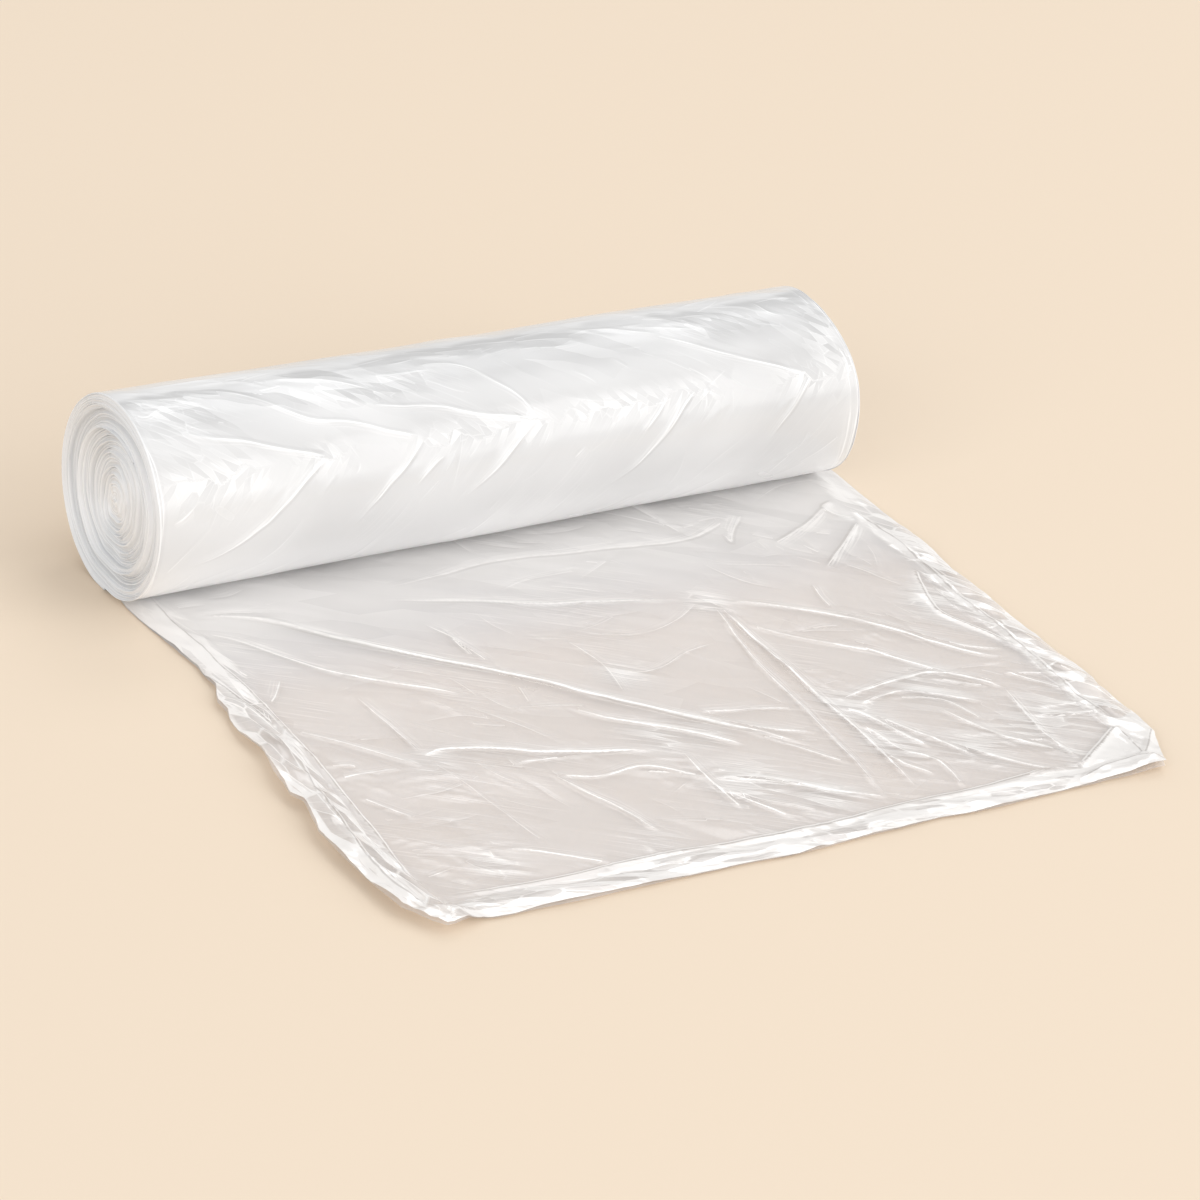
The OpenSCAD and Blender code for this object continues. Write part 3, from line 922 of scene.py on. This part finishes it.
def outer_marks(x, arc, deg):
    """Where the outermost turn is painted lighter or darker, rough, streaked, crinkled and patchy, for its
    material.
    """
    above, below = 1 - ramp(deg, 222, 244), ramp(deg, 232, 252)
    planes = above * facets(x, arc, 33, 50, 15, 611) + 0.6 * below * facets(x, arc, -48, 44, 15, 621)
    wavy = deg + 5 * noise(x / 30, 2, 148) + 2 * noise(x / 7, arc / 30, 150)
    # Painted light in a wavy band just behind the roll's top
    top_light_band = ramp(deg, 138, 150) * ramp(-wavy, -178, -170)
    # Painted light and shade: the light band, darker above the chevrons' points and a little below, lit and
    # shaded
    # facets, darker towards the right end, and lighter low on the front against its shade; the noise is
    # random
    tone = 0.37 + 0.42 * top_light_band - 0.10 * above - 0.04 * below + 0.10 * noise(x / 40, arc / 22, 141)
    tone = tone + 0.16 * planes - 0.06 * ramp(x, -60, 120) + 0.5 * ramp(deg, 275, 318)
    rough = 0.22 + 0.06 * noise((x * 0.8 + arc * 0.6) / 30, (arc * 0.8 - x * 0.6) / 8, 143)
    knot = near_knots(x, deg)
    blot_above = ramp(noise(x / 30, arc / 26, 144), -0.1, 0.4)
    blot_below = ramp(noise(x / 30, arc / 26, 145), -0.1, 0.4)
    # Painted shade in patches over the top
    patches = 0.88 * ramp(wavy, 171, 177) * ramp(-wavy, -214, -196)
    broken = 0.45 + 0.55 * ramp(noise(x / 38, arc / 16, 147), -0.3, 0.4)
    a = np.radians(np.where(deg < CHEVRON_LINE + 5 * noise(x / 5, 1, 149), 42, -52))
    # upper and lower mark the painted highlight streaks, knot the painted glints and patch the painted shade
    # patches
    return {
        "tone": np.clip(tone, 0, 1), "rough": rough, "x_mm": x, "y_mm": arc,
        "upper": above * (0.4 * blot_above + 0.6 * knot), "lower": below * (0.2 * blot_below + 0.6 * knot),
        "knot": 0.8 * knot, "patch": 0.12 * above + patches * broken,
        "pleat_x": (x * np.cos(a) + arc * np.sin(a)) / 9, "pleat_y": (arc * np.cos(a) - x * np.sin(a)) / 2.4,
    }


def make_outer_turn(film):
    degs = np.concatenate([
        np.linspace(0, 132, 66, endpoint=False), np.linspace(132, 305, 160, endpoint=False),
        np.linspace(305, OUTER_TO, 30),
    ])
    u, deg = np.meshgrid(np.linspace(0, 1, 380), degs)
    x0, x1 = left_end(deg), right_end(deg)
    x, arc = x0 + (x1 - x0) * u, deg * ARC
    relief = Relief.wavering(x, arc, 110, 1.2, 26, 8)
    crease_outer_turn(relief)
    swell = 0.25 * noise(x / 60, arc / 25, 131)
    free = ramp(deg, 12, 40) * ramp(-deg, -348, -325)
    flats = facets(x, arc, 33, 50, 15, 611) * (1 - ramp(deg, 222, 244))
    inset = np.minimum(x - x0, x1 - x)
    radius = spiral_radius(deg) + (swell + relief.h + 0.25 * flats) * free * ramp(inset, 0, 7)
    front, z = section(radius, deg)
    film_grid("outer_turn", to_row(x, front, z), {**outer_marks(x, arc, deg), **relief.lines()}, film)


# Radius of the wound film's edge after each number of turns from the outside, in loose and tight groups
turn_radius = table([
    (0, 38.05), (1, 36.45), (3.6, 32.2), (4.6, 30), (5.6, 27.6), (6.2, 26.2), (7.4, 24.2), (9.5, 19.8),
    (12, 14.4), (14.5, 8.6), (16.3, 4), (17.2, 1.8), (18, 0.04), (19, 0.02),
])
# How far the edges of those turns stand back from the outermost one
turn_back = table([
    (0, 0.2), (3.4, 0.9), (3.9, 2.9), (5.4, 3.1), (6.0, 0.8), (6.9, 1.0), (7.5, 2.9), (11, 2.9), (15, 2.6),
    (16.5, 1.8), (18, 1.5), (19, 1.5),
])
# How much lighter or darker those turns look: painted shade where they stand back, painted light where proud
turn_light = table([
    (0, 0.38), (1.5, 0.34), (3.2, 0.26), (3.9, 0.04), (5.4, 0.06), (6.0, 0.36), (6.8, 0.36), (7.3, 0.06),
    (9, 0.08), (12, 0.08), (15, 0.16), (16.5, 0.24), (19, 0.34),
])
TURNS = 18
TURN_POINTS = 300
# Across one turn: how far round to the next turn, and the height of the edge over the gap beside it
EDGE_SHAPE = [
    (0, 0), (0.1, 0.3), (0.15, 1.0), (0.22, 0.95), (0.27, -0.1), (0.33, -0.35), (0.48, 0.0), (0.56, 0.5),
    (0.61, 0.45), (0.66, -0.1), (0.84, -0.1),
]


def turn_edges(turn, whole, high, a, side, seed):
    """How far the turns' edges lie from the axis, how far they stand back from the end, and their tone."""
    ca, sa = np.cos(a), np.sin(a)
    # A turn's bulges fade into those of its neighbours, so the turns never cross
    bulge = noise(turn * 0.5 + 2, ca * 1.2 + 11, seed) + noise(turn * 0.5 + 9, sa * 1.2 + 31, seed + 1)
    small = noise(turn * 1.1 + 4, ca * 3 + 15, seed + 2) * noise(turn * 1.1 + 7, sa * 3 + 25, seed + 3)
    room = ramp(turn, 0, 3.4) * ramp(-turn, -18, -13)
    # The right end's outermost turn is drawn in a little, and the innermost turns are upright ovals
    tucked = (0.25 if side > 0 else 0) * ramp(-turn, -1, 0)
    radius = turn_radius(turn) + (0.9 * bulge + 0.7 * small) * room - tucked
    radius = radius * (1 + 0.22 * ramp(turn, 8.5, 18) * np.cos(2 * a))
    proud = 0.45 * noise(whole * 1.7 + 5, ca * 1.1 + 50, seed + 4)
    proud = proud + 0.35 * noise(whole * 1.7, sa * 2 + 60, seed + 5)
    depth = 0.95 + 0.5 * noise(whole * 1.3 + 3, sa + 70, seed + 6)
    depth = depth * (1 - 0.9 * ramp(turn, 14.5, 17))
    back = turn_back(turn) - proud * ramp(turn, 0, 2) - depth * high * ramp(turn, 0, 0.5)
    band = noise(turn * 1.3, ca + 80, seed + 7) + 0.5 * noise(turn * 0.5, sa + 90, seed + 8)
    # Painted light on the edges' tops and painted shade in the gaps beside them, by how far each edge stands
    # up
    edge_light_and_shade = 0.55 + 0.30 * noise(whole * 1.9 + 8, sa * 1.5 + 40, seed + 9)
    tone = 0.42 + turn_light(turn) + edge_light_and_shade * high + 0.14 * band
    return radius, np.clip(back, -0.3, 5), np.clip(tone, 0, 1)


def spiral_quads(rows, per_turn, side):
    """Quads of a spiral face. Round the whole circle each row runs on into the row one turn further in."""
    number = np.arange(rows * TURN_POINTS).reshape(rows, TURN_POINTS)
    left = number[:-per_turn]
    right = np.concatenate([left[:, 1:], number[per_turn:, :1]], 1)
    quads = np.stack([left[:-1], right[:-1], right[1:], left[1:]], -1).reshape(-1, 4)
    return quads if side > 0 else quads[:, ::-1]


def make_wound_end(name, side, seed, film):
    """Face of one end: the edges of all the turns, uneven and bunched. Side -1 is the left end."""
    per_turn = len(EDGE_SHAPE)
    index = np.arange((TURNS + 1) * per_turn + 1)
    within, high = np.array(EDGE_SHAPE)[index % per_turn].T[:, :, None]
    deg = np.linspace(0, 360, TURN_POINTS, endpoint=False)
    turn = index[:, None] // per_turn + within + deg / 360
    radius, back, tone = turn_edges(turn, turn - within, high, np.radians(deg), side, seed)
    front, z = section(radius, deg)
    rim = right_end(deg) if side > 0 else -left_end(deg)
    end = rim + (ROLL_L / 2 - rim) * ramp(turn, 0.7, 4)
    # The innermost turns hang a little lower
    places = to_row(side * (end - back), front, z - 1.6 * ramp(turn, 8.5, 18))
    quads = spiral_quads(len(index), per_turn, side)
    film_mesh(name, places.reshape(-1, 3), quads, {"tone": tone}, film)


def make_middle(film):
    """The closed middle behind the turns' edges: a drum with flat ends."""
    degs = np.linspace(0, 360, 97)
    eye, rim = 0.3, ROLL_R - 1.4
    end = ROLL_L / 2 - 4.4
    rows = []
    for x, radii in ((-end, np.linspace(eye, rim, 14)), (end, np.linspace(rim, eye, 14))):
        for radius in radii:
            front, z = section(np.full_like(degs, radius), degs)
            rows.append(to_row(np.full_like(degs, x), front, z))
    places = np.stack(rows, 0)
    # Its low tone is painted shade in the deep middle
    film_grid("wound_middle", places, {"tone": np.full(places.shape[:2], 0.2)}, film)


def make_roll():
    make_outer_turn(rolled_film())
    edges = film_edges()
    make_wound_end("wound_left_end", -1, 200, edges)
    make_wound_end("wound_right_end", 1, 300, edges)
    make_middle(edges)


# Stage: floor and lights in the frame's metres, and the camera as fitted to the photograph

FLOOR_TONE = (0.863, 0.732, 0.589)
LIGHT_TONE = (0.985, 0.993, 1.0)
LIGHTS_AIM = (0, 0, 0.03)
CAMERA_FROM = (-745.0, 1071.8, 684.5)
CAMERA_AZ, CAMERA_EL, CAMERA_TILT = -37.22, 28.49, 8.5
LENS, SENSOR = 117.98, 36.0


def make_floor():
    mesh = bpy.data.meshes.new("floor")
    half = 8.0
    corners = [(-half, -half, 0), (half, -half, 0), (half, half, 0), (-half, half, 0)]
    mesh.from_pydata(corners, [], [(0, 1, 2, 3)])
    floor = bpy.data.objects.new("floor", mesh)
    bpy.context.collection.objects.link(floor)
    mat, tree, shader = new_material("floor")
    fill(tree, shader, {"Base Color": FLOOR_TONE, "Roughness": 0.9, "Specular IOR Level": 0.1})
    mesh.materials.append(mat)


def make_light(name, at, size, watts):
    """A soft light aimed at the middle of the part."""
    data = bpy.data.lights.new(name, "AREA")
    data.shape = "RECTANGLE"
    data.size, data.size_y = size
    data.energy = watts
    data.color = LIGHT_TONE
    lamp = bpy.data.objects.new(name, data)
    bpy.context.collection.objects.link(lamp)
    lamp.location = at
    lamp.rotation_mode = "QUATERNION"
    lamp.rotation_quaternion = (Vector(LIGHTS_AIM) - Vector(at)).to_track_quat("-Z", "Y")


def make_lights():
    world = bpy.data.worlds.new("studio")
    bpy.context.scene.world = world
    world.use_nodes = True
    back = world.node_tree.nodes["Background"]
    back.inputs["Color"].default_value = (1.0, 0.985, 0.965, 1)
    back.inputs["Strength"].default_value = 0.63
    make_light("front_right", (3.2, -4.2, 2.6), (4.6, 3.8), 122)
    make_light("overhead", (1.6, -0.9, 4.6), (3.2, 3.2), 34)
    make_light("back_right", (1.93, 2.2, 3.54), (1.9, 1.9), 20)
    make_light("left_fill", (-4.6, -2.9, 2.4), (4.4, 3.4), 100)
    make_light("low_front", (0.9, -5.4, 0.8), (4.0, 1.4), 24)


def make_camera():
    az, el, tilt = (math.radians(v) for v in (CAMERA_AZ, CAMERA_EL, CAMERA_TILT))
    back = Vector((math.sin(az) * math.cos(el), -math.cos(az) * math.cos(el), math.sin(el)))
    level = (-back).cross(Vector((0, 0, 1))).normalized()
    upright = level.cross(-back)
    right = level * math.cos(tilt) + upright * math.sin(tilt)
    up = right.cross(-back)
    data = bpy.data.cameras.new("camera")
    data.lens, data.sensor_width = LENS, SENSOR
    data.clip_start, data.clip_end = 0.05, 50
    camera = bpy.data.objects.new("camera", data)
    bpy.context.collection.objects.link(camera)
    turn = Matrix((right, up, back)).transposed().to_4x4()
    camera.matrix_world = Matrix.Translation(Vector(to_row(*map(np.float64, CAMERA_FROM)))) @ turn
    bpy.context.scene.camera = camera


bpy.context.scene.view_settings.view_transform = "Standard"
make_camera()
make_floor()
make_lights()
make_roll()
make_loose_bag(loose_film())
